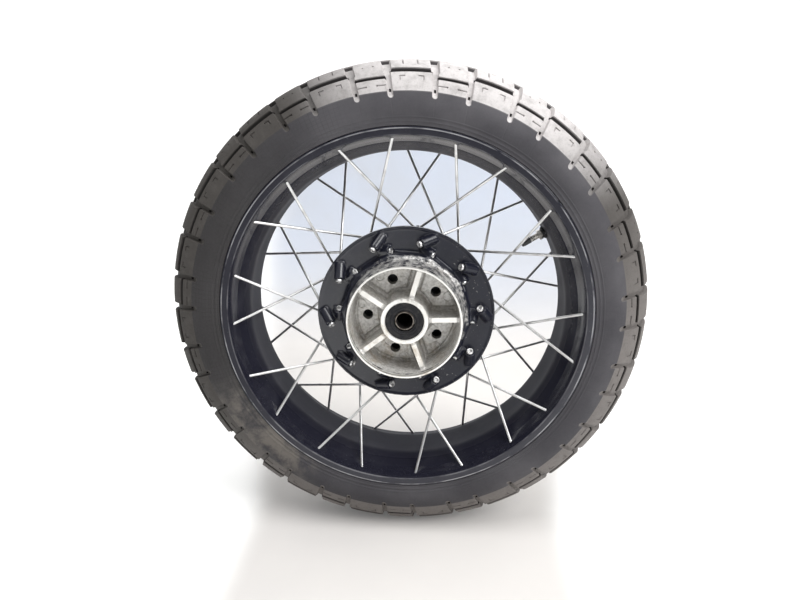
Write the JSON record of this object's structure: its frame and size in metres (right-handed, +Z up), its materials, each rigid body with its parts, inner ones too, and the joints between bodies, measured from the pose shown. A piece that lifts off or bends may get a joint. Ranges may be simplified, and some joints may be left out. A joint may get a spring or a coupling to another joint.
{
  "type": "spoked motorcycle wheel",
  "caption": "Rear motorcycle wheel with a block-tread tyre, a tubeless cross-spoked rim, a cast cush-drive hub on ball bearings and a valve.",
  "frame": {"origin": "centre of the wheel, on its axle line and in the rim's middle plane", "axes": "+Y along the axle from the drive side to the disc side, +Z up; the drive side faces -Y"},
  "size_m": [0.6004, 0.1365, 0.6004],
  "materials": {
    "tyre_rubber": "matt worn rubber with dust in the tread",
    "rim_gloss_black": "gloss black paint on aluminium",
    "hub_cast": "cast aluminium, satin black paint outside and bare inside the cup",
    "spoke_steel": "polished stainless",
    "bearing_steel": "ground steel",
    "collar_steel": "oiled turned steel",
    "seal_rubber": "matt moulded rubber",
    "valve_metal": "nickel plated",
    "cap_plastic": "moulded black plastic"
  },
  "bodies": {
    "axle_core": {"near_bearing_inner_race": "bearing_steel", "far_bearing_inner_race": "bearing_steel", "bearing_spacer_tube": "collar_steel", "near_axle_collar": "collar_steel", "far_axle_collar": "collar_steel"},
    "wheel": {"tyre": "tyre_rubber", "rim": "rim_gloss_black", "hub": "hub_cast", "spoke_01": "spoke_steel", "spoke_02": "spoke_steel", "spoke_03": "spoke_steel", "spoke_04": "spoke_steel", "spoke_05": "spoke_steel", "spoke_06": "spoke_steel", "spoke_07": "spoke_steel", "spoke_08": "spoke_steel", "spoke_09": "spoke_steel", "spoke_10": "spoke_steel", "spoke_11": "spoke_steel", "spoke_12": "spoke_steel", "spoke_13": "spoke_steel", "spoke_14": "spoke_steel", "spoke_15": "spoke_steel", "spoke_16": "spoke_steel", "spoke_17": "spoke_steel", "spoke_18": "spoke_steel", "spoke_19": "spoke_steel", "spoke_20": "spoke_steel", "spoke_21": "spoke_steel", "spoke_22": "spoke_steel", "spoke_23": "spoke_steel", "spoke_24": "spoke_steel", "spoke_25": "spoke_steel", "spoke_26": "spoke_steel", "spoke_27": "spoke_steel", "spoke_28": "spoke_steel", "spoke_29": "spoke_steel", "spoke_30": "spoke_steel", "spoke_31": "spoke_steel", "spoke_32": "spoke_steel", "spoke_33": "spoke_steel", "spoke_34": "spoke_steel", "spoke_35": "spoke_steel", "spoke_36": "spoke_steel", "spoke_37": "spoke_steel", "spoke_38": "spoke_steel", "spoke_39": "spoke_steel", "spoke_40": "spoke_steel", "near_bearing_outer_race": "bearing_steel", "far_bearing_outer_race": "bearing_steel", "near_oil_seal": "seal_rubber", "far_oil_seal": "seal_rubber", "valve_stem": "valve_metal", "valve_grommet": "seal_rubber", "valve_nut": "valve_metal", "valve_cap": "cap_plastic"},
    "near_balls": {"near_bearing_balls": "bearing_steel"},
    "far_balls": {"far_bearing_balls": "bearing_steel"}
  },
  "joints": [
    {"name": "wheel_spin", "type": "hinge", "parent": "axle_core", "child": "wheel", "pos_m": [0, 0, 0], "axis": [0, 1, 0], "continuous": true},
    {"name": "near_balls_roll", "type": "hinge", "parent": "axle_core", "child": "near_balls", "pos_m": [0, -0.0475, 0], "axis": [0, 1, 0], "continuous": true},
    {"name": "far_balls_roll", "type": "hinge", "parent": "axle_core", "child": "far_balls", "pos_m": [0, 0.0367, 0], "axis": [0, 1, 0], "continuous": true}
  ],
  "couplings": [
    {"joint": "near_balls_roll", "follows": "wheel_spin", "ratio": 0.6185},
    {"joint": "far_balls_roll", "follows": "wheel_spin", "ratio": 0.6185}
  ]
}
